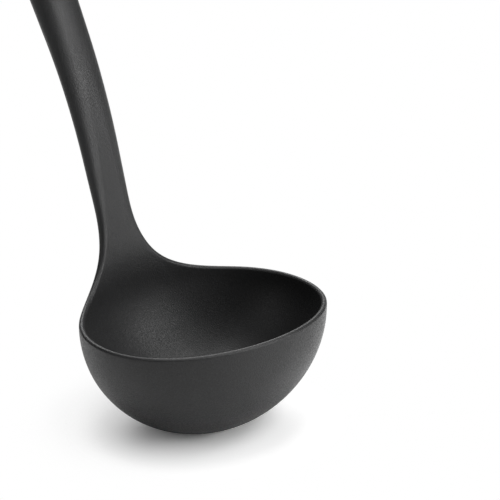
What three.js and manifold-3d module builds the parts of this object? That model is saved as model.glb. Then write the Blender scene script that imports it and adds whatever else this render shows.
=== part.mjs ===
// Soup ladle: a moulded bowl that rises through a flared neck into a shank, with a pinned,
// soft-sleeved grip on the shank's tang. Millimetres, +Z up, standing as it is photographed.
// The nose of the bowl points along +X, the handle leans back over -X, and the origin is the
// middle of the flat foot under the bowl.

import * as THREE from 'three';
import { mergeVertices } from 'three/addons/utils/BufferGeometryUtils.js';
import Module from 'manifold-3d';

// Bowl: half an ellipsoid, measured outside at its widest level
const BOWL_LENGTH = 75.5;
const BOWL_WIDTH = 92.4;
const BOWL_DEPTH = 40.2;
const BOWL_WALL = 2;
const BOWL_FLOOR = 2.2;
const FOOT_DEPTH = 0.9; // height that the flat foot takes off the round bottom
const RIM_HEIGHT = 0.7; // rim above the widest level, at the sides and the back
const NOSE_RISE = 2; // how much higher the rim is at the nose
const RIM_ROUNDING = 1.2;

// Neck: the back of the rim sweeps up on both sides into the shank
const FLARE_SPREAD = THREE.MathUtils.degToRad(61.4); // half the turn of the rim that the flare takes
const FLARE_RISE = 30;
const NECK_WIDTH = 15.8;
const NECK_FLATTENING = 20; // height over which the neck loses half the curve of the bowl's wall

// Line of the handle, from the back of the rim to the shoulder of the shank
const NECK_BEND_RADIUS = 62;
const NECK_BEND = THREE.MathUtils.degToRad(15.6);
const NECK_STRAIGHT = 30.3;
const UPPER_BEND_RADIUS = 227;
const UPPER_BEND = THREE.MathUtils.degToRad(10.5);
const SHANK_STRAIGHT = 38;

// Shank at its shoulder, and the tang that enters the grip
const SHANK_WIDTH = 19.3;
const SHANK_THICKNESS = 12.8;
const SHANK_ROUNDING = 9.3;
const SHANK_ROUND_FROM = 90; // distance from the rim at which the shank has its full rounding
const TANG_WIDTH = 10.4;
const TANG_THICKNESS = 5.2;
const TANG_LENGTH = 50;
const TANG_ROUNDING = 2;

// Grip
const COLLAR_LENGTH = 5;
const COLLAR_LIP = 0.6; // how far the collar stands proud of the shank
const CORE_WALL = 1.5; // around the tang
const GRIP_LENGTH = 98; // from the collar to the end cap
const GRIP_SWELL = 1.6; // extra thickness of the sleeve in the middle of the grip
const SLEEVE_WALL = 1.6; // at the ends of the sleeve
const PIN_DIAMETER = 2;
const PIN_HEIGHT = 26; // above the shoulder

// End cap with its hanging slot
const CAP_LENGTH = 38;
const CAP_END_THICKNESS = 9;
const SPIGOT_LENGTH = 16;
const SLOT_WIDTH = 8.5;
const SLOT_LENGTH = 21;
const SLOT_END_WALL = 7; // between the slot and the tip of the cap

// Gap that parts keep where they seat on each other, and the rounding of the grip's end edges
const FIT = 0.3;
const EDGE_EASE = 0.6;

// Rounded outlines: how square corners and the flare are, and how fast the shank gains thickness
const CORNER_POWER = 2.2;
const FLARE_POWER = 2.45;
const GROWTH_POWER = 1.2;
const TIP_THINNING = 0.4; // how much the tip of the cap thins along with its width
const EDGE_SHARE = 0.25; // part of a rounding that is drawn as edge, the rest as face

// Fineness of the surfaces
const FACE_STEPS = 12;
const EDGE_STEPS = 6;
const WALL_STEPS = 18;
const FRONT_STEPS = 48;
const FLARE_STEPS = 10;
const NECK_STEPS = 8;
const SHANK_STEPS = 18;
const SLEEVE_STEPS = 12;
const TIP_STEPS = 7;
const HOLE_STEPS = 20;

const { lerp } = THREE.MathUtils;
const wasm = await Module();
wasm.setup();

// Sizes that follow from the ones above
const bowlCentre = BOWL_DEPTH - FOOT_DEPTH;
const outside = { x: BOWL_LENGTH / 2, y: BOWL_WIDTH / 2, z: BOWL_DEPTH };
const inside = { x: outside.x - BOWL_WALL, y: outside.y - BOWL_WALL, z: bowlCentre - BOWL_FLOOR };
const wallLength = (Math.PI / 4) * (outside.x + outside.z); // about a quarter turn, foot to rim
const flareReach = outside.y * Math.sin(FLARE_SPREAD) - NECK_WIDTH / 2;
const flareMiddle = Math.atan((flareReach / FLARE_RISE) ** (FLARE_POWER / (2 * FLARE_POWER - 2)));
const gripLean = NECK_BEND + UPPER_BEND;
const handleLine = drawHandleLine();
const shankLength = handleLine.getLength() - TANG_LENGTH;

// Height of the rim at a turn, counted from the back of the bowl
function rimHeight(turn) {
  return bowlCentre + RIM_HEIGHT + NOSE_RISE * Math.max(0, -Math.cos(turn)) ** 2;
}

// Middle of the bowl's back wall, up the neck and along the shank and tang, drawn in X and Z
function drawHandleLine() {
  const line = new THREE.Path();
  const start = new THREE.Vector2(BOWL_WALL / 2 - outside.x, rimHeight(0));
  const along = (lean) => new THREE.Vector2(-Math.sin(lean), Math.cos(lean));
  const towardsFront = (lean) => new THREE.Vector2(Math.cos(lean), Math.sin(lean));
  const bend = (from, radius, lean, turn) => {
    const hub = from.clone().addScaledVector(towardsFront(lean), -radius);
    line.absarc(hub.x, hub.y, radius, lean, lean + turn, false);
    return hub.addScaledVector(towardsFront(lean + turn), radius);
  };
  const straight = (from, lean, length) => {
    const end = from.clone().addScaledVector(along(lean), length);
    line.lineTo(end.x, end.y);
    return end;
  };
  line.moveTo(start.x, start.y);
  const neckFoot = bend(start, NECK_BEND_RADIUS, 0, NECK_BEND);
  const neckTop = straight(neckFoot, NECK_BEND, NECK_STRAIGHT);
  const shankFoot = bend(neckTop, UPPER_BEND_RADIUS, NECK_BEND, UPPER_BEND);
  straight(shankFoot, gripLean, SHANK_STRAIGHT + TANG_LENGTH);
  return line;
}

// A rounded bar's outline: flat faces, and ends that round off over a depth of `rounding`
function faceHeight(section, fromEdge) {
  const into = Math.max(0, 1 - fromEdge / section.rounding);
  return (section.thickness / 2) * (1 - into ** CORNER_POWER) ** (1 / CORNER_POWER);
}

function edgeDrop(section, height) {
  const share = Math.min(1, Math.abs(2 * height) / section.thickness);
  return section.rounding * (1 - (1 - share ** CORNER_POWER) ** (1 / CORNER_POWER));
}

// Heights across an edge, from the back face to the front face
function edgeHeights(section) {
  const reach = faceHeight(section, section.rounding * section.faceEnd);
  const heights = [];
  for (let k = 1; k < EDGE_STEPS; k += 1) {
    heights.push(reach * Math.sin(Math.PI * (k / EDGE_STEPS - 0.5)));
  }
  return heights;
}

// Places across a face, from one side (-1) to the other (1)
function faceShares() {
  const shares = [];
  for (let i = 0; i <= FACE_STEPS; i += 1) {
    shares.push(lerp(-1, 1, i / FACE_STEPS));
  }
  return shares;
}

// One ring: across the back face (-1), over the +Y edge, across the front face (1), over the -Y edge
function walkRing(onFace, plusEdge, minusEdge) {
  const shares = faceShares();
  return [
    ...shares.map((share) => onFace(share, -1)),
    ...plusEdge,
    ...shares.toReversed().map((share) => onFace(share, 1)),
    ...minusEdge.toReversed(),
  ];
}

// Ring of a section. `place` puts a point, given by its height out of the middle and its distance
// sideways, where the ring is
function sectionRing(section, place) {
  const halfFace = section.width / 2 - section.rounding * section.faceEnd;
  const onFace = (share, side) => {
    const y = halfFace * share;
    return place(side * faceHeight(section, section.width / 2 - Math.abs(y)), y);
  };
  const edge = (side) => edgeHeights(section).map((height) => {
    return place(height, side * (section.width / 2 - edgeDrop(section, height)));
  });
  return walkRing(onFace, edge(1), edge(-1));
}

// One ring of a straight bar, in the grip's own frame
function barRing(section, z) {
  return sectionRing(section, (height, y) => new THREE.Vector3(height, y, z));
}

// A section with every side moved out by `by`
function grown(section, by) {
  return {
    ...section,
    width: section.width + 2 * by,
    thickness: section.thickness + 2 * by,
    rounding: section.rounding + by,
  };
}

// Closed surface over rings of points: fans close its ends, or the last ring meets the first
class Skin {
  constructor() {
    this.points = [];
    this.triangles = [];
  }

  ring(points) {
    return points.map((point) => this.points.push(point) - 1);
  }

  strip(lower, upper) {
    for (let n = 0; n < lower.length; n += 1) {
      this.quad(lower, upper, n, (n + 1) % lower.length);
    }
  }

  quad(lower, upper, n, next) {
    this.triangles.push(lower[n], upper[n], upper[next], lower[n], upper[next], lower[next]);
  }

  startFan(ring, centre) {
    const [hub] = this.ring([centre]);
    ring.forEach((point, n) => this.triangles.push(hub, point, ring[(n + 1) % ring.length]));
  }

  endFan(ring, centre) {
    const [hub] = this.ring([centre]);
    ring.forEach((point, n) => this.triangles.push(point, hub, ring[(n + 1) % ring.length]));
  }

  geometry() {
    const shape = new THREE.BufferGeometry().setFromPoints(this.points);
    shape.setIndex(this.triangles);
    shape.computeVertexNormals();
    return shape;
  }
}

function middleOf(points) {
  const sum = points.reduce((total, point) => total.add(point), new THREE.Vector3());
  return sum.divideScalar(points.length);
}

// Solid over rings, closed by a flat fan at each end
function solidLoft(rings) {
  const skin = new Skin();
  const placed = rings.map((ring) => skin.ring(ring));
  skin.startFan(placed[0], middleOf(rings[0]));
  for (let j = 1; j < placed.length; j += 1) {
    skin.strip(placed[j - 1], placed[j]);
  }
  skin.endFan(placed.at(-1), middleOf(rings.at(-1)));
  return skin.geometry();
}

// Tube over rings that run up the outside and down the inside
function tubeLoft(rings) {
  const skin = new Skin();
  const placed = rings.map((ring) => skin.ring(ring));
  placed.forEach((ring, j) => skin.strip(ring, placed[(j + 1) % placed.length]));
  return skin.geometry();
}

// Boolean cuts
function toSolid(geometry) {
  const bare = geometry.clone();
  bare.deleteAttribute('normal');
  bare.deleteAttribute('uv');
  const merged = mergeVertices(bare);
  const vertProperties = new Float32Array(merged.attributes.position.array);
  const triVerts = new Uint32Array(merged.index.array);
  return new wasm.Manifold(new wasm.Mesh({ numProp: 3, vertProperties, triVerts }));
}

function cut(geometry, tool) {
  const mesh = toSolid(geometry).subtract(toSolid(tool)).getMesh();
  const shape = new THREE.BufferGeometry();
  shape.setAttribute('position', new THREE.BufferAttribute(mesh.vertProperties, 3));
  shape.setIndex(new THREE.BufferAttribute(mesh.triVerts, 1));
  shape.computeVertexNormals();
  return shape;
}

// Sections of the straight parts
const shankSection = {
  width: SHANK_WIDTH,
  thickness: SHANK_THICKNESS,
  rounding: Math.min(SHANK_ROUNDING, SHANK_WIDTH / 2),
  faceEnd: EDGE_SHARE,
};
const tangSection = {
  width: TANG_WIDTH,
  thickness: TANG_THICKNESS,
  rounding: Math.min(TANG_ROUNDING, TANG_WIDTH / 2),
  faceEnd: EDGE_SHARE,
};
const socketSection = grown(tangSection, FIT);
const coreSection = grown(socketSection, CORE_WALL);
const sleeveBore = grown(coreSection, FIT);
const sleeveEnd = grown(sleeveBore, SLEEVE_WALL);

// Heights above the shoulder, along the grip
const collarFoot = FIT;
const collarTop = collarFoot + COLLAR_LENGTH;
const gripFoot = collarTop + FIT;
const gripTop = gripFoot + GRIP_LENGTH;
const capFoot = gripTop + FIT;

// Section of the neck and shank at a distance along the handle line
function shankSectionAt(along) {
  const growth = (along / shankLength) ** GROWTH_POWER;
  const aboveFlare = Math.max(0, (along - FLARE_RISE) / (shankLength - FLARE_RISE));
  const rounded = THREE.MathUtils.smoothstep(along, 0, SHANK_ROUND_FROM);
  return {
    width: lerp(NECK_WIDTH, SHANK_WIDTH, aboveFlare),
    thickness: lerp(BOWL_WALL, SHANK_THICKNESS, growth),
    rounding: lerp(RIM_ROUNDING, shankSection.rounding, rounded),
    faceEnd: lerp(1, EDGE_SHARE, aboveFlare),
  };
}

// Point on the neck or shank: sideways, along the handle line, and out of its middle surface. It
// starts with the curve of the bowl's wall. The line starts upright, so the little of the edge's
// rounding that lies below its start is straight down
function onHandle(y, along, height, thickness) {
  const at = THREE.MathUtils.clamp(along / handleLine.getLength(), 0, 1);
  const point = handleLine.getPoint(at);
  const tangent = handleLine.getTangent(at);
  const share = height / thickness + 0.5;
  const turn = Math.asin(y / outside.y);
  const curve = 1 / (1 + (Math.max(0, along) / NECK_FLATTENING) ** 2);
  const out = height + curve * lerp(outside.x, inside.x, share) * (1 - Math.cos(turn));
  return new THREE.Vector3(
    point.x + out * tangent.y,
    y - curve * lerp(0, BOWL_WALL, share) * Math.sin(turn),
    point.y - out * tangent.x + Math.min(0, along),
  );
}

function shankRing(section, along) {
  return sectionRing(section, (height, y) => onHandle(y, along, height, section.thickness));
}

// Point of the bowl's wall at a height: `share` runs from the outside (0) to the inside (1)
function wallPoint(turn, z, share) {
  const level = (half) => Math.sqrt(Math.max(0, 1 - ((z - bowlCentre) / half.z) ** 2));
  const x = lerp(outside.x * level(outside), inside.x * level(inside), share);
  const y = lerp(outside.y * level(outside), inside.y * level(inside), share);
  return new THREE.Vector3(-x * Math.cos(turn), y * Math.sin(turn), z);
}

// Height on the way from one height of an ellipsoid to another, in even steps of its own angle
function heightBetween(half, lowest, highest, way) {
  const angle = (z) => Math.acos((bowlCentre - z) / half.z);
  return bowlCentre - half.z * Math.cos(lerp(angle(lowest), angle(highest), way));
}

// The rim's edge leaves the bowl along a quarter of a squared ellipse and ends upright in the neck.
// `turn` runs from the flare's end to the neck, and `top` is where the faces meet the edge
function flareEdge(turn) {
  const inwards = Math.sin(turn) ** (2 / FLARE_POWER);
  const below = Math.max(0, Math.cos(turn)) ** (2 / FLARE_POWER);
  const crest = new THREE.Vector2(
    NECK_WIDTH / 2 + flareReach * (1 - inwards),
    FLARE_RISE * (1 - below),
  );
  const outward = new THREE.Vector2(
    inwards ** (FLARE_POWER - 1) / flareReach,
    below ** (FLARE_POWER - 1) / FLARE_RISE,
  ).normalize();
  const section = shankSectionAt(crest.y);
  const edge = (side) => edgeHeights(section).map((height) => {
    const point = crest.clone().addScaledVector(outward, -edgeDrop(section, height));
    return onHandle(side * point.x, point.y, height, section.thickness);
  });
  const top = crest.clone().addScaledVector(outward, -section.rounding);
  return { top, edge, thickness: section.thickness };
}

function flareRing(turn) {
  const { top, edge, thickness } = flareEdge(turn);
  const onFace = (share, side) => onHandle(top.x * share, top.y, (side * thickness) / 2, thickness);
  return walkRing(onFace, edge(1), edge(-1));
}

// Columns of the wall. Each has a turn from the back of the bowl, a rise above the wall's top,
// and the points that round its edge from the outside to the inside
function frontColumn(turn) {
  const rim = { thickness: BOWL_WALL, rounding: RIM_ROUNDING, faceEnd: 1 };
  const onEdge = (height) => {
    return wallPoint(turn, rimHeight(turn) - edgeDrop(rim, height), height / BOWL_WALL + 0.5);
  };
  return { turn, rise: 0, edge: edgeHeights(rim).map(onEdge) };
}

function flareColumn(step, side) {
  const { top, edge } = flareEdge(flareMiddle * (step / FLARE_STEPS) ** (FLARE_POWER / 2));
  return {
    turn: side * Math.asin(top.x / outside.y),
    rise: top.y + RIM_ROUNDING,
    edge: edge(side),
  };
}

// Columns between the two sides of the flare go on into the neck, so they have no edge
function neckColumn(share) {
  const { top } = flareEdge(flareMiddle);
  return {
    turn: Math.asin((top.x * share) / outside.y),
    rise: top.y + RIM_ROUNDING,
  };
}

// Columns that end at an edge, from the +Y side of the neck round the nose to the -Y side
function rimColumns() {
  const columns = [];
  for (let step = FLARE_STEPS; step >= 0; step -= 1) {
    columns.push(flareColumn(step, 1));
  }
  const flareEnd = columns.at(-1).turn;
  for (let i = 1; i < FRONT_STEPS; i += 1) {
    columns.push(frontColumn(lerp(flareEnd, 2 * Math.PI - flareEnd, i / FRONT_STEPS)));
  }
  for (let step = 0; step <= FLARE_STEPS; step += 1) {
    columns.push(flareColumn(step, -1));
  }
  return columns;
}

// Point of a column on its way up from the foot, or from the floor of the bowl on the inside
function columnPoint(column, row, half) {
  const share = half === outside ? 0 : 1;
  const reach = (row / WALL_STEPS) * (wallLength + column.rise);
  if (reach <= wallLength) {
    const wallTop = rimHeight(column.turn) - RIM_ROUNDING;
    const z = heightBetween(half, share * BOWL_FLOOR, wallTop, reach / wallLength);
    return wallPoint(column.turn, z, share);
  }
  const along = reach - wallLength - RIM_ROUNDING;
  const { thickness } = shankSectionAt(Math.max(0, along));
  const height = (share - 0.5) * thickness;
  return onHandle(outside.y * Math.sin(column.turn), along, height, thickness);
}

// Bowl, neck, shank and tang in one moulding
function bowlAndShank() {
  const skin = new Skin();
  const atRim = rimColumns();
  const columns = [...atRim, ...faceShares().slice(1, -1).map(neckColumn)];
  const outerRows = [];
  const innerRows = [];
  for (let row = 0; row <= WALL_STEPS; row += 1) {
    outerRows.push(skin.ring(columns.map((column) => columnPoint(column, row, outside))));
    innerRows.push(skin.ring(columns.map((column) => columnPoint(column, row, inside))));
  }
  const edgeRows = atRim[0].edge.map((_, n) => skin.ring(atRim.map((column) => column.edge[n])));

  skin.startFan(outerRows[0], new THREE.Vector3());
  for (let row = 1; row <= WALL_STEPS; row += 1) {
    skin.strip(outerRows[row - 1], outerRows[row]);
    skin.strip(innerRows[row], innerRows[row - 1]);
  }
  skin.endFan(innerRows[0], new THREE.Vector3(0, 0, BOWL_FLOOR));

  const overRim = [outerRows.at(-1), ...edgeRows, innerRows.at(-1)];
  for (let row = 1; row < overRim.length; row += 1) {
    for (let i = 1; i < atRim.length; i += 1) {
      skin.quad(overRim[row - 1], overRim[row], i - 1, i);
    }
  }

  let lower = neckRing(outerRows.at(-1), edgeRows, innerRows.at(-1), atRim.length);
  for (const ring of handleRings()) {
    const upper = skin.ring(ring);
    skin.strip(lower, upper);
    lower = upper;
  }
  skin.endFan(lower, onHandle(0, handleLine.getLength(), 0, TANG_THICKNESS));
  return cut(skin.geometry(), pinHole());
}

// Ring at the foot of the neck, from the tops of its columns
function neckRing(outerTop, edgeRows, innerTop, rimCount) {
  const across = (row) => [row[rimCount - 1], ...row.slice(rimCount), row[0]];
  return [
    ...across(outerTop),
    ...edgeRows.map((row) => row[0]),
    ...across(innerTop).toReversed(),
    ...edgeRows.map((row) => row.at(-1)).toReversed(),
  ];
}

function handleRings() {
  const rings = [];
  for (let step = 1; step <= NECK_STEPS; step += 1) {
    rings.push(flareRing(lerp(flareMiddle, Math.PI / 2, step / NECK_STEPS)));
  }
  for (let step = 1; step <= SHANK_STEPS; step += 1) {
    const along = lerp(FLARE_RISE, shankLength, step / SHANK_STEPS);
    rings.push(shankRing(shankSectionAt(along), along));
  }
  rings.push(shankRing(tangSection, shankLength));
  rings.push(shankRing(tangSection, handleLine.getLength()));
  return rings;
}

// Pin hole through tang and core, in the grip's own frame
function pinHoleInGrip() {
  const radius = PIN_DIAMETER / 2 + FIT;
  const hole = new THREE.CylinderGeometry(radius, radius, sleeveEnd.width, HOLE_STEPS);
  return hole.translate(0, 0, PIN_HEIGHT);
}

function pinHole() {
  return pinHoleInGrip().applyMatrix4(gripPlace());
}

// The grip's frame: on the shoulder of the shank, Z along the grip, X out of its front
function gripPlace() {
  const shoulder = handleLine.getPoint(shankLength / handleLine.getLength());
  const place = new THREE.Matrix4().makeRotationY(-gripLean);
  return place.setPosition(shoulder.x, 0, shoulder.y);
}

// Trim ring round the tang, clamped between the shoulder and the grip
function shankCollar() {
  const outer = grown(shankSection, COLLAR_LIP);
  const eased = grown(outer, -EDGE_EASE);
  return tubeLoft([
    barRing(eased, collarFoot),
    barRing(outer, collarFoot + EDGE_EASE),
    barRing(outer, collarTop - EDGE_EASE),
    barRing(eased, collarTop),
    barRing(socketSection, collarTop),
    barRing(socketSection, collarFoot),
  ]);
}

// Hard core: the tang's socket opens at its foot, and the end cap's spigot enters at its top
function gripCore() {
  const bar = solidLoft([
    barRing(socketSection, TANG_LENGTH + FIT),
    barRing(socketSection, gripFoot),
    barRing(coreSection, gripFoot),
    barRing(coreSection, gripTop),
    barRing(socketSection, gripTop),
    barRing(socketSection, gripTop - SPIGOT_LENGTH - FIT),
  ]);
  return cut(bar, pinHoleInGrip());
}

// Soft sleeve: swells towards the middle of the hand, and covers the pin
function gripSleeve() {
  const rings = [barRing(grown(sleeveEnd, -EDGE_EASE), gripFoot)];
  for (let step = 0; step <= SLEEVE_STEPS; step += 1) {
    const swell = GRIP_SWELL * Math.sin(Math.PI * (step / SLEEVE_STEPS)) ** 2;
    const z = lerp(gripFoot + EDGE_EASE, gripTop - EDGE_EASE, step / SLEEVE_STEPS);
    rings.push(barRing(grown(sleeveEnd, swell), z));
  }
  rings.push(barRing(grown(sleeveEnd, -EDGE_EASE), gripTop));
  rings.push(barRing(sleeveBore, gripTop));
  rings.push(barRing(sleeveBore, gripFoot));
  return tubeLoft(rings);
}

// Section of the end cap: it thins towards a round tip
function capSection(z, turn) {
  const thickness = lerp(sleeveEnd.thickness, CAP_END_THICKNESS, (z - capFoot) / CAP_LENGTH);
  const width = sleeveEnd.width * Math.cos(turn);
  return {
    width,
    thickness: thickness * Math.cos(turn) ** TIP_THINNING,
    rounding: Math.min(sleeveEnd.rounding, width / 2),
    faceEnd: sleeveEnd.faceEnd,
  };
}

// End cap: a spigot in the core, and a rounded end with a slot to hang the ladle by
function hangingEndCap() {
  const tipRound = sleeveEnd.width / 2;
  const shoulder = capFoot + CAP_LENGTH - tipRound;
  const rings = [
    barRing(tangSection, gripTop - SPIGOT_LENGTH),
    barRing(tangSection, capFoot),
    barRing(grown(sleeveEnd, -EDGE_EASE), capFoot),
    barRing(capSection(capFoot + EDGE_EASE, 0), capFoot + EDGE_EASE),
  ];
  for (let step = 0; step < TIP_STEPS; step += 1) {
    const turn = (Math.PI / 2) * (step / TIP_STEPS);
    const z = shoulder + tipRound * Math.sin(turn);
    rings.push(barRing(capSection(z, turn), z));
  }
  return cut(solidLoft(rings), hangingSlot());
}

// Tool that cuts the hanging slot from front to back
function hangingSlot() {
  const radius = SLOT_WIDTH / 2;
  const reach = SLOT_LENGTH / 2 - radius;
  const outline = new THREE.Shape();
  outline.absarc(0, reach, radius, 0, Math.PI, false);
  outline.absarc(0, -reach, radius, Math.PI, 2 * Math.PI, false);
  const depth = 2 * sleeveEnd.thickness;
  const slot = new THREE.ExtrudeGeometry(outline, {
    depth,
    bevelEnabled: false,
    curveSegments: HOLE_STEPS / 2,
  });
  const frontToBack = new THREE.Matrix4().makeBasis(
    new THREE.Vector3(0, 1, 0),
    new THREE.Vector3(0, 0, 1),
    new THREE.Vector3(1, 0, 0),
  );
  const middle = capFoot + CAP_LENGTH - SLOT_END_WALL - SLOT_LENGTH / 2;
  return slot.applyMatrix4(frontToBack).translate(-depth / 2, 0, middle);
}

// Steel cross pin that holds the tang in the core
function tangPin() {
  const radius = PIN_DIAMETER / 2;
  const half = coreSection.width / 2 - FIT;
  const profile = [
    new THREE.Vector2(0, -half),
    new THREE.Vector2(radius - FIT, -half),
    new THREE.Vector2(radius, FIT - half),
    new THREE.Vector2(radius, half - FIT),
    new THREE.Vector2(radius - FIT, half),
    new THREE.Vector2(0, half),
  ];
  return new THREE.LatheGeometry(profile, HOLE_STEPS).translate(0, 0, PIN_HEIGHT);
}

// Materials
function mouldedNylon() {
  return new THREE.MeshStandardMaterial({ color: 0x333435, roughness: 0.6, metalness: 0 });
}

function satinPlastic() {
  return new THREE.MeshStandardMaterial({ color: 0x2a2b2c, roughness: 0.45, metalness: 0 });
}

function softRubber() {
  return new THREE.MeshStandardMaterial({ color: 0x262627, roughness: 0.85, metalness: 0 });
}

function pinSteel() {
  return new THREE.MeshStandardMaterial({ color: 0xb4b6b8, roughness: 0.35, metalness: 1 });
}

// Assembly
function named(name, geometry, material) {
  const mesh = new THREE.Mesh(geometry, material);
  mesh.name = name;
  return mesh;
}

const grip = new THREE.Group();
grip.applyMatrix4(gripPlace());
grip.add(
  named('shank_collar', shankCollar(), satinPlastic()),
  named('grip_core', gripCore(), mouldedNylon()),
  named('grip_sleeve', gripSleeve(), softRubber()),
  named('hanging_end_cap', hangingEndCap(), satinPlastic()),
  named('tang_pin', tangPin(), pinSteel()),
);

const ladle = new THREE.Group();
ladle.add(named('bowl_and_shank', bowlAndShank(), mouldedNylon()), grip);

export default ladle;
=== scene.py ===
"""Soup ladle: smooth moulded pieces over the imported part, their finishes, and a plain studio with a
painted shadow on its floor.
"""

from __future__ import annotations

import logging
import math
from dataclasses import dataclass
from enum import Enum
from functools import cache

import bpy
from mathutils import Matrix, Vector


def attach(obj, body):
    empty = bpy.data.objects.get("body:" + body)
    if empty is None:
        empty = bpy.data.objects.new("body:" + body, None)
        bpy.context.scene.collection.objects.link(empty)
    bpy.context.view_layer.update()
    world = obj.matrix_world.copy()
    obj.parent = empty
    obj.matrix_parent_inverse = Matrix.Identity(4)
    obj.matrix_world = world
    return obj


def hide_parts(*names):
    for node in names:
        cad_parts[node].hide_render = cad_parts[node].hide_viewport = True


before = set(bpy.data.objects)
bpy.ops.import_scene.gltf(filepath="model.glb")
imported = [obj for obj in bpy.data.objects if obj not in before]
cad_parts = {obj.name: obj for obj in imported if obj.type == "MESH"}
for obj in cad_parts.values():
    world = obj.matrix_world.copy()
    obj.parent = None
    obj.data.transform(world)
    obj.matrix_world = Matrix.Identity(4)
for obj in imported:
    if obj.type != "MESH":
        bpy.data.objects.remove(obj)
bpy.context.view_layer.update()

log = logging.getLogger("soup_ladle")

BODY = "root"
MILLIMETRE = 0.001

Colour = tuple[float, float, float]
Span = tuple[float, float]
Socket = bpy.types.NodeSocket

WHOLE: Span = (0.0, 1.0)
REVERSED: Span = (1.0, 0.0)

# Patterns that the finishes share
GRAIN_DETAIL = 1.5
COARSE_SHARE = 0.43  # fineness of the coarse grain, against the fine one's
COARSE_DETAIL = 2.0
FLECK_SPAN: Span = (0.22, 0.40)
PIT_SPAN: Span = (0.3, 0.7)
MOTTLE_DETAIL = 4.0
MOTTLE_SPAN: Span = (0.3, 0.7)
EDGE_SPAN: Span = (0.53, 0.62)  # pointiness, from nearly flat to an edge that is worn and given a painted highlight
PATCH_DETAIL = 3.0
PATCH_SPAN: Span = (0.3, 0.65)
PATCH_WEAR: Span = (0.35, 1.0)


class Slot(Enum):
    """The record's material slots."""

    NYLON = "nylon"
    SATIN = "satin_plastic"
    RUBBER = "soft_rubber"
    STEEL = "pin_steel"


class Corner(Enum):
    """How a piece's sharp edges are finished."""

    CREASED = "creased"
    ROUNDED = "rounded"


class NodeBench:
    """Places and joins the nodes of one node tree."""

    # Sockets of a colour mix, whose names are not unique
    FIRST_COLOUR = 6
    SECOND_COLOUR = 7
    MIXED_COLOUR = 2

    def __init__(self, tree: bpy.types.NodeTree) -> None:
        """Starts on an empty tree.

        Args:
            tree: The node tree to build in.
        """
        self.tree = tree
        self.tree.nodes.clear()

    def add(self, kind: str, **settings: object) -> bpy.types.Node:
        """Adds a node.

        Args:
            kind: Blender's name for the node's type.
            settings: Properties to set on the node.

        Returns:
            The new node.
        """
        node = self.tree.nodes.new(kind)
        for name, value in settings.items():
            setattr(node, name, value)
        return node

    def join(self, source: Socket, target: Socket) -> None:
        """Links an output to an input."""
        self.tree.links.new(source, target)

    def feed(self, value: Socket | float, target: Socket) -> None:
        """Links an output to an input, or sets the input to a number.

        Args:
            value: The output or the number.
            target: The input.
        """
        if isinstance(value, Socket):
            self.join(value, target)
        else:
            target.default_value = value

    def show(self, shader: Socket) -> None:
        """Makes a shader the material's surface."""
        self.join(shader, self.add("ShaderNodeOutputMaterial").inputs["Surface"])

    def noise(self, place: Socket, scale: Socket | float, detail: float) -> Socket:
        """Adds a noise pattern.

        Args:
            place: Where the pattern is read.
            scale: How many features lie in a metre.
            detail: How many finer octaves it holds.

        Returns:
            The pattern's value.
        """
        node = self.add("ShaderNodeTexNoise")
        node.inputs["Detail"].default_value = detail
        self.join(place, node.inputs["Vector"])
        self.feed(scale, node.inputs["Scale"])
        return node.outputs["Fac"]

    def ramp(self, value: Socket, given: Span, result: Span) -> Socket:
        """Maps a value's range onto another, held at its ends.

        Args:
            value: What is mapped.
            given: The values that give the result's start and end.
            result: The result's start and end.

        Returns:
            The mapped value.
        """
        node = self.add("ShaderNodeMapRange", clamp=True)
        ends = ("From Min", "From Max", "To Min", "To Max")
        for label, number in zip(ends, (*given, *result)):
            node.inputs[label].default_value = number
        self.join(value, node.inputs["Value"])
        return node.outputs["Result"]

    def combine(self, operation: str, a: Socket, b: Socket | float) -> Socket:
        """Works out a value from two others.

        Args:
            operation: Blender's name for the operation.
            a: The first value.
            b: The second value.

        Returns:
            The outcome.
        """
        node = self.add("ShaderNodeMath", operation=operation)
        self.join(a, node.inputs[0])
        self.feed(b, node.inputs[1])
        return node.outputs[0]

    def times(self, a: Socket, b: Socket | float) -> Socket:
        """Multiplies two values."""
        return self.combine("MULTIPLY", a, b)

    def plus(self, a: Socket, b: Socket) -> Socket:
        """Adds two values."""
        return self.combine("ADD", a, b)

    def blend(self, share: Socket, first: Colour | Socket, second: Colour) -> Socket:
        """Mixes two colours.

        Args:
            share: How much of the second colour shows.
            first: The colour at share 0.
            second: The colour at share 1.

        Returns:
            The mixed colour.
        """
        node = self.add("ShaderNodeMix", data_type="RGBA")
        self.join(share, node.inputs["Factor"])
        if isinstance(first, Socket):
            self.join(first, node.inputs[self.FIRST_COLOUR])
        else:
            node.inputs[self.FIRST_COLOUR].default_value = (*first, 1.0)
        node.inputs[self.SECOND_COLOUR].default_value = (*second, 1.0)
        return node.outputs[self.MIXED_COLOUR]


def new_material(name: str) -> tuple[bpy.types.Material, NodeBench]:
    """Starts a material.

    Args:
        name: The material's name.

    Returns:
        The material and a bench to build it on.
    """
    made = bpy.data.materials.new(name)
    made.use_nodes = True
    return made, NodeBench(made.node_tree)


def new_group(
    name: str, inputs: dict[str, float], outputs: list[str]
) -> tuple[bpy.types.NodeTree, NodeBench]:
    """Starts a shader node group that reads a place and puts out values.

    Args:
        name: The group's name.
        inputs: Its number inputs and their values.
        outputs: Its value outputs.

    Returns:
        The group and a bench to build it on.
    """
    group = bpy.data.node_groups.new(name, "ShaderNodeTree")
    group.interface.new_socket("Place", in_out="INPUT", socket_type="NodeSocketVector")
    for label, value in inputs.items():
        socket = group.interface.new_socket(label, in_out="INPUT", socket_type="NodeSocketFloat")
        socket.default_value = value
    for label in outputs:
        group.interface.new_socket(label, in_out="OUTPUT", socket_type="NodeSocketFloat")
    return group, NodeBench(group)


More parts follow.
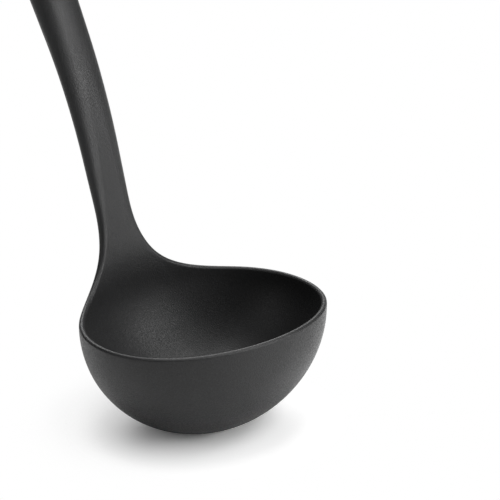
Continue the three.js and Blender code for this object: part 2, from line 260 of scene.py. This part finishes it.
@cache
def spark_grain() -> bpy.types.NodeTree:
    """Builds the fine pitted grain that a spark-eroded mould leaves.

    Returns:
        A group with the grain's height and its light flecks.
    """
    group, bench = new_group("spark grain", {"Fineness": 3000.0}, ["Height", "Fleck"])
    given = bench.add("NodeGroupInput")
    result = bench.add("NodeGroupOutput")
    place = given.outputs["Place"]
    fineness = given.outputs["Fineness"]
    height = bench.noise(place, fineness, GRAIN_DETAIL)
    coarse = bench.noise(place, bench.times(fineness, COARSE_SHARE), COARSE_DETAIL)
    fleck = bench.ramp(bench.times(height, coarse), FLECK_SPAN, WHOLE)
    bench.join(height, result.inputs["Height"])
    bench.join(fleck, result.inputs["Fleck"])
    return group


@cache
def handling_mottle() -> bpy.types.NodeTree:
    """Builds the faint cloudiness that washing and handling leave.

    Returns:
        A group with one value that drifts over the surface.
    """
    group, bench = new_group("handling mottle", {"Breadth": 60.0}, ["Mottle"])
    given = bench.add("NodeGroupInput")
    result = bench.add("NodeGroupOutput")
    clouds = bench.noise(given.outputs["Place"], given.outputs["Breadth"], MOTTLE_DETAIL)
    bench.join(bench.ramp(clouds, MOTTLE_SPAN, WHOLE), result.inputs["Mottle"])
    return group


@cache
def edge_wear_and_highlight() -> bpy.types.NodeTree:
    """Builds the mask of the outer edges, where use leaves polish and a lighter colour; on the rim the
    lighter colour is also a painted highlight.

    Returns:
        A group with a mask of the edges, worn and given a painted highlight.
    """
    group, bench = new_group("edge wear", {"Patchiness": 220.0}, ["Worn"])
    given = bench.add("NodeGroupInput")
    result = bench.add("NodeGroupOutput")
    shape = bench.add("ShaderNodeNewGeometry")
    edge = bench.ramp(shape.outputs["Pointiness"], EDGE_SPAN, WHOLE)
    blots = bench.noise(given.outputs["Place"], given.outputs["Patchiness"], PATCH_DETAIL)
    patches = bench.ramp(blots, PATCH_SPAN, PATCH_WEAR)
    bench.join(bench.times(edge, patches), result.inputs["Worn"])
    return group


def place_group(
    bench: NodeBench, group: bpy.types.NodeTree, place: Socket, **values: float
) -> bpy.types.Node:
    """Places a group in a material.

    Args:
        bench: The material's bench.
        group: The group.
        place: Where its patterns are read.
        values: Its number inputs.

    Returns:
        The group's node.
    """
    node = bench.add("ShaderNodeGroup", node_tree=group)
    bench.join(place, node.inputs["Place"])
    for label, value in values.items():
        node.inputs[label].default_value = value
    return node


@dataclass(frozen=True)
class MouldedFinish:
    """A moulded plastic or rubber: grained, faintly mottled, and polished and lighter along its edges,
    the lighter colour partly wear and partly a painted highlight.
    """

    name: str
    slot: Slot
    colour: Colour
    fleck_colour: Colour
    worn_and_highlight_colour: Colour
    roughness: float
    roughness_drift: float
    grain_fineness: float
    grain_depth: float
    grain_dullness: float
    specular: float = 0.5
    sheen: float = 0.0
    wear_and_highlight: float = 0.5  # how much of the lighter edge colour, part wear and part painted highlight, shows on an edge
    polish: float = 0.12  # how much less rough a worn edge is

    def material(self) -> bpy.types.Material:
        """Builds the finish.

        Returns:
            The material.
        """
        made, bench = new_material(self.name)
        place = bench.add("ShaderNodeTexCoord").outputs["Object"]
        grain = place_group(bench, spark_grain(), place, Fineness=self.grain_fineness)
        mottle = place_group(bench, handling_mottle(), place).outputs["Mottle"]
        worn_and_highlit = place_group(bench, edge_wear_and_highlight(), place).outputs["Worn"]
        height = grain.outputs["Height"]
        flecked = bench.blend(grain.outputs["Fleck"], self.colour, self.fleck_colour)
        # Lighter colour along the edges: partly wear, partly a painted highlight on the rim
        colour = bench.blend(bench.times(worn_and_highlit, self.wear_and_highlight), flecked, self.worn_and_highlight_colour)
        shader = bench.add("ShaderNodeBsdfPrincipled")
        shader.inputs["Specular IOR Level"].default_value = self.specular
        shader.inputs["Sheen Weight"].default_value = self.sheen
        bench.join(colour, shader.inputs["Base Color"])
        bench.join(self.dullness(bench, height, mottle, worn_and_highlit), shader.inputs["Roughness"])
        bench.join(self.relief(bench, height), shader.inputs["Normal"])
        bench.show(shader.outputs["BSDF"])
        return made

    def dullness(self, bench: NodeBench, height: Socket, mottle: Socket, worn_and_highlit: Socket) -> Socket:
        """Works out the roughness: it drifts, is higher in pits and lower on worn edges.

        Args:
            bench: The material's bench.
            height: The grain's height.
            mottle: The cloudiness.
            worn_and_highlit: The mask of the edges, worn and given a painted highlight.

        Returns:
            The roughness.
        """
        smoothest = self.roughness - self.roughness_drift
        dullest = self.roughness + self.roughness_drift
        drift = bench.ramp(mottle, WHOLE, (smoothest, dullest))
        polish = bench.times(worn_and_highlit, -self.polish)
        pits = bench.ramp(height, PIT_SPAN, (self.grain_dullness, -self.grain_dullness))
        return bench.plus(bench.plus(drift, polish), pits)

    def relief(self, bench: NodeBench, height: Socket) -> Socket:
        """Turns the grain's height into a normal.

        Args:
            bench: The material's bench.
            height: The grain's height.

        Returns:
            The normal.
        """
        bump = bench.add("ShaderNodeBump")
        bump.inputs["Strength"].default_value = 1.0
        bump.inputs["Distance"].default_value = self.grain_depth
        bench.join(height, bump.inputs["Height"])
        return bump.outputs["Normal"]


@dataclass(frozen=True)
class GroundSteel:
    """Ground steel with fine streaks round the pin."""

    name: str
    slot: Slot
    colour: Colour
    streak_colour: Colour
    roughness: float
    roughness_drift: float = 0.08
    streak_fineness: float = 9000.0
    streak_detail: float = 3.0
    streak_stretch: tuple[float, float, float] = (0.1, 1.0, 0.1)
    mottle_breadth: float = 400.0

    def material(self) -> bpy.types.Material:
        """Builds the finish.

        Returns:
            The material.
        """
        made, bench = new_material(self.name)
        place = bench.add("ShaderNodeTexCoord").outputs["Object"]
        stretch = bench.add("ShaderNodeMapping")
        stretch.inputs["Scale"].default_value = self.streak_stretch
        bench.join(place, stretch.inputs["Vector"])
        streaks = bench.noise(stretch.outputs["Vector"], self.streak_fineness, self.streak_detail)
        mottled = place_group(bench, handling_mottle(), place, Breadth=self.mottle_breadth)
        smoothest = self.roughness - self.roughness_drift
        dullest = self.roughness + self.roughness_drift
        drift = bench.ramp(mottled.outputs["Mottle"], WHOLE, (smoothest, dullest))
        shader = bench.add("ShaderNodeBsdfPrincipled")
        shader.inputs["Metallic"].default_value = 1.0
        bench.join(bench.blend(streaks, self.colour, self.streak_colour), shader.inputs["Base Color"])
        bench.join(drift, shader.inputs["Roughness"])
        bench.show(shader.outputs["BSDF"])
        return made


Finish = MouldedFinish | GroundSteel

MATTE_NYLON = MouldedFinish(
    name="matte_nylon",
    slot=Slot.NYLON,
    colour=(0.0175, 0.0176, 0.018),
    fleck_colour=(0.0215, 0.0217, 0.0222),
    # Lighter edge colour: partly wear, partly a painted highlight on the rim
    worn_and_highlight_colour=(0.04, 0.0403, 0.041),
    roughness=0.45,
    roughness_drift=0.04,
    grain_fineness=2400.0,
    grain_depth=0.07 * MILLIMETRE,
    grain_dullness=0.13,
    specular=0.32,
)
SATIN_PLASTIC = MouldedFinish(
    name="satin_plastic",
    slot=Slot.SATIN,
    colour=(0.02, 0.0202, 0.0207),
    fleck_colour=(0.03, 0.0303, 0.031),
    worn_and_highlight_colour=(0.05, 0.0505, 0.0515),
    roughness=0.38,
    roughness_drift=0.05,
    grain_fineness=5000.0,
    grain_depth=0.02 * MILLIMETRE,
    grain_dullness=0.04,
)
SOFT_RUBBER = MouldedFinish(
    name="soft_rubber",
    slot=Slot.RUBBER,
    colour=(0.016, 0.016, 0.0165),
    fleck_colour=(0.024, 0.024, 0.0245),
    worn_and_highlight_colour=(0.03, 0.03, 0.031),
    roughness=0.74,
    roughness_drift=0.06,
    grain_fineness=2200.0,
    grain_depth=0.08 * MILLIMETRE,
    grain_dullness=0.05,
    sheen=0.15,
)
PIN_STEEL = GroundSteel(
    name="pin_steel",
    slot=Slot.STEEL,
    colour=(0.42, 0.43, 0.44),
    streak_colour=(0.56, 0.57, 0.58),
    roughness=0.34,
)


@cache
def material_of(finish: Finish) -> bpy.types.Material:
    """Builds each finish once."""
    return finish.material()


def choose_only(piece: bpy.types.Object) -> None:
    """Makes a piece the only selected object, and the active one.

    Args:
        piece: The piece.
    """
    bpy.ops.object.select_all(action="DESELECT")
    piece.select_set(True)
    bpy.context.view_layer.objects.active = piece


def add_modifier(piece: bpy.types.Object, name: str, kind: str, **settings: object) -> bpy.types.Modifier:
    """Adds a modifier to a piece, and chooses the piece.

    Args:
        piece: The piece.
        name: The modifier's name.
        kind: Blender's name for the modifier's type.
        settings: Properties to set on it.

    Returns:
        The modifier.
    """
    choose_only(piece)
    modifier = piece.modifiers.new(name, kind)
    for label, value in settings.items():
        setattr(modifier, label, value)
    return modifier


@dataclass
class MouldedPiece:
    """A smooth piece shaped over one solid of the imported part."""

    name: str
    node: str
    finish: Finish
    corner: Corner
    smoothing: int  # levels of subdivision
    sharpest_smooth: float = math.radians(40)
    edge_round: float = 0.4 * MILLIMETRE
    edge_segments: int = 3
    fitting_rounds: int = 3
    weld_reach: float = 0.002 * MILLIMETRE
    quad_fold: float = math.radians(30)  # most that two triangles of one face may fold
    quad_skew: float = math.radians(60)  # most that a face may differ from a square

    def build(self) -> bpy.types.Object:
        """Shapes the piece.

        Returns:
            The piece, with its place in its mesh.
        """
        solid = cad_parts[self.node]
        piece = bpy.data.objects.new(self.name, solid.data.copy())
        bpy.context.scene.collection.objects.link(piece)
        self.weld(piece)
        if self.corner is Corner.ROUNDED:
            self.round_corners(piece)
        else:
            self.crease_corners(piece)
        if self.smoothing:
            self.smooth(piece)
        choose_only(piece)
        bpy.ops.object.shade_smooth_by_angle(angle=self.sharpest_smooth)
        return piece

    def weld(self, piece: bpy.types.Object) -> None:
        """Joins the solid's loose triangles into whole faces.

        Args:
            piece: The copy of the solid.
        """
        choose_only(piece)
        bpy.ops.mesh.customdata_custom_splitnormals_clear()
        bpy.ops.object.mode_set(mode="EDIT")
        bpy.ops.mesh.select_all(action="SELECT")
        bpy.ops.mesh.remove_doubles(threshold=self.weld_reach)
        bpy.ops.mesh.tris_convert_to_quads(face_threshold=self.quad_fold, shape_threshold=self.quad_skew)
        bpy.ops.object.mode_set(mode="OBJECT")

    def crease_corners(self, piece: bpy.types.Object) -> None:
        """Keeps the sharp edges sharp under smoothing.

        Args:
            piece: The welded piece.
        """
        choose_only(piece)
        bpy.ops.object.mode_set(mode="EDIT")
        bpy.ops.mesh.select_mode(type="EDGE")
        bpy.ops.mesh.select_all(action="DESELECT")
        bpy.ops.mesh.edges_select_sharp(sharpness=self.sharpest_smooth)
        bpy.ops.transform.edge_crease(value=1.0)
        bpy.ops.object.mode_set(mode="OBJECT")

    def round_corners(self, piece: bpy.types.Object) -> None:
        """Breaks the sharp edges with a small round.

        Args:
            piece: The welded piece.
        """
        modifier = add_modifier(
            piece,
            "edge round",
            "BEVEL",
            width=self.edge_round,
            segments=self.edge_segments,
            limit_method="ANGLE",
            angle_limit=self.sharpest_smooth,
            use_clamp_overlap=True,
            harden_normals=False,
        )
        bpy.ops.object.modifier_apply(modifier=modifier.name)

    def smooth(self, piece: bpy.types.Object) -> None:
        """Smooths the piece, and keeps its skin where the solid's corners are.

        Subdivision draws a skin in from its corners, so the corners are first moved out by as much
        as the skin misses them. What then bulges past the solid's box is brought back to it.

        Args:
            piece: The welded piece.
        """
        modifier = add_modifier(
            piece,
            "smooth",
            "SUBSURF",
            levels=self.smoothing,
            render_levels=self.smoothing,
            use_limit_surface=True,
        )
        goals = [corner.co.copy() for corner in piece.data.vertices]
        for _ in range(self.fitting_rounds):
            shown = piece.evaluated_get(bpy.context.evaluated_depsgraph_get()).data
            misses = [goal - shown.vertices[n].co for n, goal in enumerate(goals)]
            for corner, miss in zip(piece.data.vertices, misses):
                corner.co += miss
            piece.data.update()
        bpy.ops.object.modifier_apply(modifier=modifier.name)
        lowest = [min(side) for side in zip(*goals)]
        highest = [max(side) for side in zip(*goals)]
        for corner in piece.data.vertices:
            corner.co = [min(max(at, low), high) for at, low, high in zip(corner.co, lowest, highest)]

    def dress(self, piece: bpy.types.Object) -> None:
        """Gives the piece its finish and lets it stand for its solid.

        Args:
            piece: The shaped piece.
        """
        piece.data.materials.clear()
        piece.data.materials.append(material_of(self.finish))
        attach(piece, BODY)
        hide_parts(self.node)


@dataclass
class HiddenPiece:
    """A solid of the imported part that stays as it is, inside the grip."""

    node: str
    finish: Finish

    def dress(self) -> None:
        """Gives the solid its finish."""
        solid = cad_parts[self.node]
        solid.data.materials.clear()
        solid.data.materials.append(material_of(self.finish))


@dataclass
class Ladle:
    """The ladle's pieces, from the bowl up."""

    moulded: tuple[MouldedPiece, ...] = (
        MouldedPiece("ladle_bowl", "bowl_and_shank", MATTE_NYLON, Corner.CREASED, smoothing=2),
        MouldedPiece("collar_ring", "shank_collar", SATIN_PLASTIC, Corner.CREASED, smoothing=1),
        MouldedPiece("soft_sleeve", "grip_sleeve", SOFT_RUBBER, Corner.CREASED, smoothing=2),
        MouldedPiece("end_cap", "hanging_end_cap", SATIN_PLASTIC, Corner.ROUNDED, smoothing=0),
    )
    hidden: tuple[HiddenPiece, ...] = (
        HiddenPiece("grip_core", MATTE_NYLON),
        HiddenPiece("tang_pin", PIN_STEEL),
    )

    def build(self) -> None:
        """Builds and dresses every piece."""
        for part in self.moulded:
            piece = part.build()
            part.dress(piece)
            log.info("%s: %d faces", piece.name, len(piece.data.polygons))
        for part in self.hidden:
            part.dress()
            log.info("%s: dressed", part.node)


@dataclass
class PhotoCamera:
    """The camera at the photograph's viewing angle."""

    azimuth: float = math.radians(41)
    elevation: float = math.radians(20.894)
    distance: float = 0.9
    target: Vector = Vector((6.6865, 15.8815, 59.2067)) * MILLIMETRE
    lens: float = 192.47
    sensor: float = 36.0
    nearest: float = 10 * MILLIMETRE

    def sideways(self) -> Vector:
        """Gives the direction to the picture's right."""
        return Vector((math.cos(self.azimuth), math.sin(self.azimuth), 0))

    def towards_viewer(self) -> Vector:
        """Gives the level direction from the object to the viewer."""
        return Vector((math.sin(self.azimuth), -math.cos(self.azimuth), 0))

    def towards_camera(self) -> Vector:
        """Gives the direction from the target to the camera."""
        return self.towards_viewer() * math.cos(self.elevation) + Vector((0, 0, math.sin(self.elevation)))

    def build(self) -> bpy.types.Object:
        """Places the camera.

        Returns:
            The camera.
        """
        lens = bpy.data.cameras.new("photo_camera")
        lens.sensor_width = self.sensor
        lens.lens = self.lens
        lens.clip_start = self.nearest
        camera = bpy.data.objects.new("photo_camera", lens)
        camera.location = self.target + self.towards_camera() * self.distance
        camera.rotation_euler = (-self.towards_camera()).to_track_quat("-Z", "Y").to_euler()
        bpy.context.scene.collection.objects.link(camera)
        bpy.context.scene.camera = camera
        return camera


@dataclass
class Softbox:
    """A soft area light on a dome round the object, placed as the viewer sees it.

    Its two angles are in degrees, its sizes in metres and its power in watts.
    """

    name: str
    towards_right: float
    elevation: float
    width: float
    height: float
    power: float
    distance: float = 1.3

    def build(self, camera: PhotoCamera) -> None:
        """Places the light and turns it to the camera's target.

        Args:
            camera: The camera that the light is placed from.
        """
        light = bpy.data.lights.new(self.name, "AREA")
        light.shape = "RECTANGLE"
        light.size = self.width
        light.size_y = self.height
        light.energy = self.power
        turn = math.radians(self.towards_right)
        rise = math.radians(self.elevation)
        level = camera.sideways() * math.sin(turn) + camera.towards_viewer() * math.cos(turn)
        out = level * math.cos(rise) + Vector((0, 0, math.sin(rise)))
        lamp = bpy.data.objects.new(self.name, light)
        lamp.location = camera.target + out * self.distance
        lamp.rotation_euler = (-out).to_track_quat("-Z", "Y").to_euler()
        bpy.context.scene.collection.objects.link(lamp)


@dataclass
class Studio:
    """Pale floor with a painted soft shadow, soft lights and a white surround."""

    floor_size: float = 12.0
    floor_colour: float = 0.92
    floor_exposure: float = 1.5  # how much paler the viewer sees the floor
    core_shadow: float = 10 * MILLIMETRE  # round the foot, where only the lamps' own shadow shows
    painted_shade_radius: float = 48 * MILLIMETRE  # round the foot, beyond which only the painted shadow shows
    shade_reach: float = 45 * MILLIMETRE  # how near a surface has to be to darken the painted shadow on the floor
    shade_samples: int = 16
    white_openness: float = 0.8  # share of open sky at which the painted shadow ends in white
    # Lean of the painted shadow's light, towards the picture's right and towards the viewer
    shade_lean_to_right: float = math.radians(22)
    shade_lean_to_viewer: float = math.radians(13)
    softboxes: tuple[Softbox, ...] = (
        Softbox("right_softbox", towards_right=75, elevation=18, width=0.75, height=0.5, power=10.1),
        Softbox("upper_right_softbox", towards_right=78, elevation=51, width=0.9, height=0.6, power=7.5),
        Softbox("top_softbox", towards_right=0, elevation=90, width=0.6, height=0.6, power=9.9),
        Softbox("back_softbox", towards_right=188, elevation=38, width=1.1, height=0.55, power=11.4),
        Softbox("left_softbox", towards_right=301, elevation=22, width=0.9, height=0.7, power=1.7),
    )

    def build(self, camera: PhotoCamera) -> None:
        """Builds the studio round the object.

        Args:
            camera: The camera that the lights are placed from.
        """
        self.build_floor(camera)
        self.build_surround()
        for softbox in self.softboxes:
            softbox.build(camera)
            log.info("%s: %.1f W", softbox.name, softbox.power)
        bpy.context.scene.view_settings.view_transform = "Standard"

    def build_floor(self, camera: PhotoCamera) -> None:
        """Lays the floor.

        Args:
            camera: The camera that the painted shadow's lean is given from.
        """
        bpy.ops.object.select_all(action="DESELECT")
        bpy.ops.mesh.primitive_plane_add(size=self.floor_size)
        floor = bpy.context.active_object
        floor.name = "studio_floor"
        floor.data.materials.append(self.floor_material(camera))

    def floor_material(self, camera: PhotoCamera) -> bpy.types.Material:
        """Builds the floor's look: the lamps' shadow at the foot, and further out a painted soft shadow,
        drawn as a glow.

        Args:
            camera: The camera that the painted shadow's lean is given from.

        Returns:
            The material.
        """
        made, bench = new_material("studio_floor")
        seen = bench.add("ShaderNodeLightPath").outputs["Is Camera Ray"]
        away = bench.add("ShaderNodeVectorMath", operation="LENGTH")
        bench.join(bench.add("ShaderNodeTexCoord").outputs["Object"], away.inputs[0])
        beyond = bench.ramp(away.outputs["Value"], (self.core_shadow, self.painted_shade_radius), WHOLE)
        # Near the foot the lamps' own shadow shows; further out the viewer sees the painted shadow
        shader = bench.add("ShaderNodeMixShader")
        bench.join(bench.times(beyond, seen), shader.inputs[0])
        bench.join(self.lit_floor(bench, seen), shader.inputs[1])
        bench.join(self.painted_floor_shade(bench, camera), shader.inputs[2])
        bench.show(shader.outputs["Shader"])
        return made

    def lit_floor(self, bench: NodeBench, seen: Socket) -> Socket:
        """Builds the floor under the lamps, over-exposed to the viewer.

        Args:
            bench: The floor material's bench.
            seen: Whether the viewer looks at it.

        Returns:
            The shader.
        """
        shown = self.floor_colour * self.floor_exposure
        lit = bench.add("ShaderNodeBsdfDiffuse")
        bench.join(bench.blend(seen, (self.floor_colour,) * 3, (shown,) * 3), lit.inputs["Color"])
        return lit.outputs["BSDF"]

    def painted_floor_shade(self, bench: NodeBench, camera: PhotoCamera) -> Socket:
        """Builds a painted shadow: a glow that darkens where the object hides the sky, and ends in plain
        white.

        Args:
            bench: The floor material's bench.
            camera: The camera that the painted shadow's lean is given from.

        Returns:
            The shader.
        """
        shade_lean = bench.add("ShaderNodeCombineXYZ")
        for socket, number in zip(shade_lean.inputs, self.painted_shade_lean(camera)):
            socket.default_value = number
        sky = bench.add("ShaderNodeAmbientOcclusion", samples=self.shade_samples)
        sky.inputs["Distance"].default_value = self.shade_reach
        bench.join(shade_lean.outputs["Vector"], sky.inputs["Normal"])
        hidden = bench.ramp(sky.outputs["AO"], (0.0, self.white_openness), REVERSED)
        strength = bench.ramp(bench.times(hidden, hidden), WHOLE, REVERSED)
        # The painted shadow is a glow, not a lamp, darker where the object is near
        painted_shade = bench.add("ShaderNodeEmission")
        bench.join(strength, painted_shade.inputs["Strength"])
        return painted_shade.outputs["Emission"]

    def painted_shade_lean(self, camera: PhotoCamera) -> Vector:
        """Gives the direction that the painted shadow is drawn as lit from.

        Args:
            camera: The camera that it is given from.

        Returns:
            A direction of length 1, upwards.
        """
        right = camera.sideways() * math.tan(self.shade_lean_to_right)
        front = camera.towards_viewer() * math.tan(self.shade_lean_to_viewer)
        return (right + front + Vector((0, 0, 1))).normalized()

    def build_surround(self) -> None:
        """Makes the surround: white to the viewer, and dark to the object."""
        world = bpy.data.worlds.new("studio_surround")
        world.use_nodes = True
        bench = NodeBench(world.node_tree)
        path = bench.add("ShaderNodeLightPath")
        glow = bench.add("ShaderNodeBackground")
        glow.inputs["Color"].default_value = (1.0, 1.0, 1.0, 1.0)
        bench.join(path.outputs["Is Camera Ray"], glow.inputs["Strength"])
        bench.join(glow.outputs[0], bench.add("ShaderNodeOutputWorld").inputs["Surface"])
        bpy.context.scene.world = world


def main() -> None:
    """Builds the ladle, the camera and the studio."""
    logging.basicConfig(level=logging.INFO, format="%(name)s %(message)s")
    Ladle().build()
    camera = PhotoCamera()
    camera.build()
    Studio().build(camera)


if __name__ == "__main__":
    main()
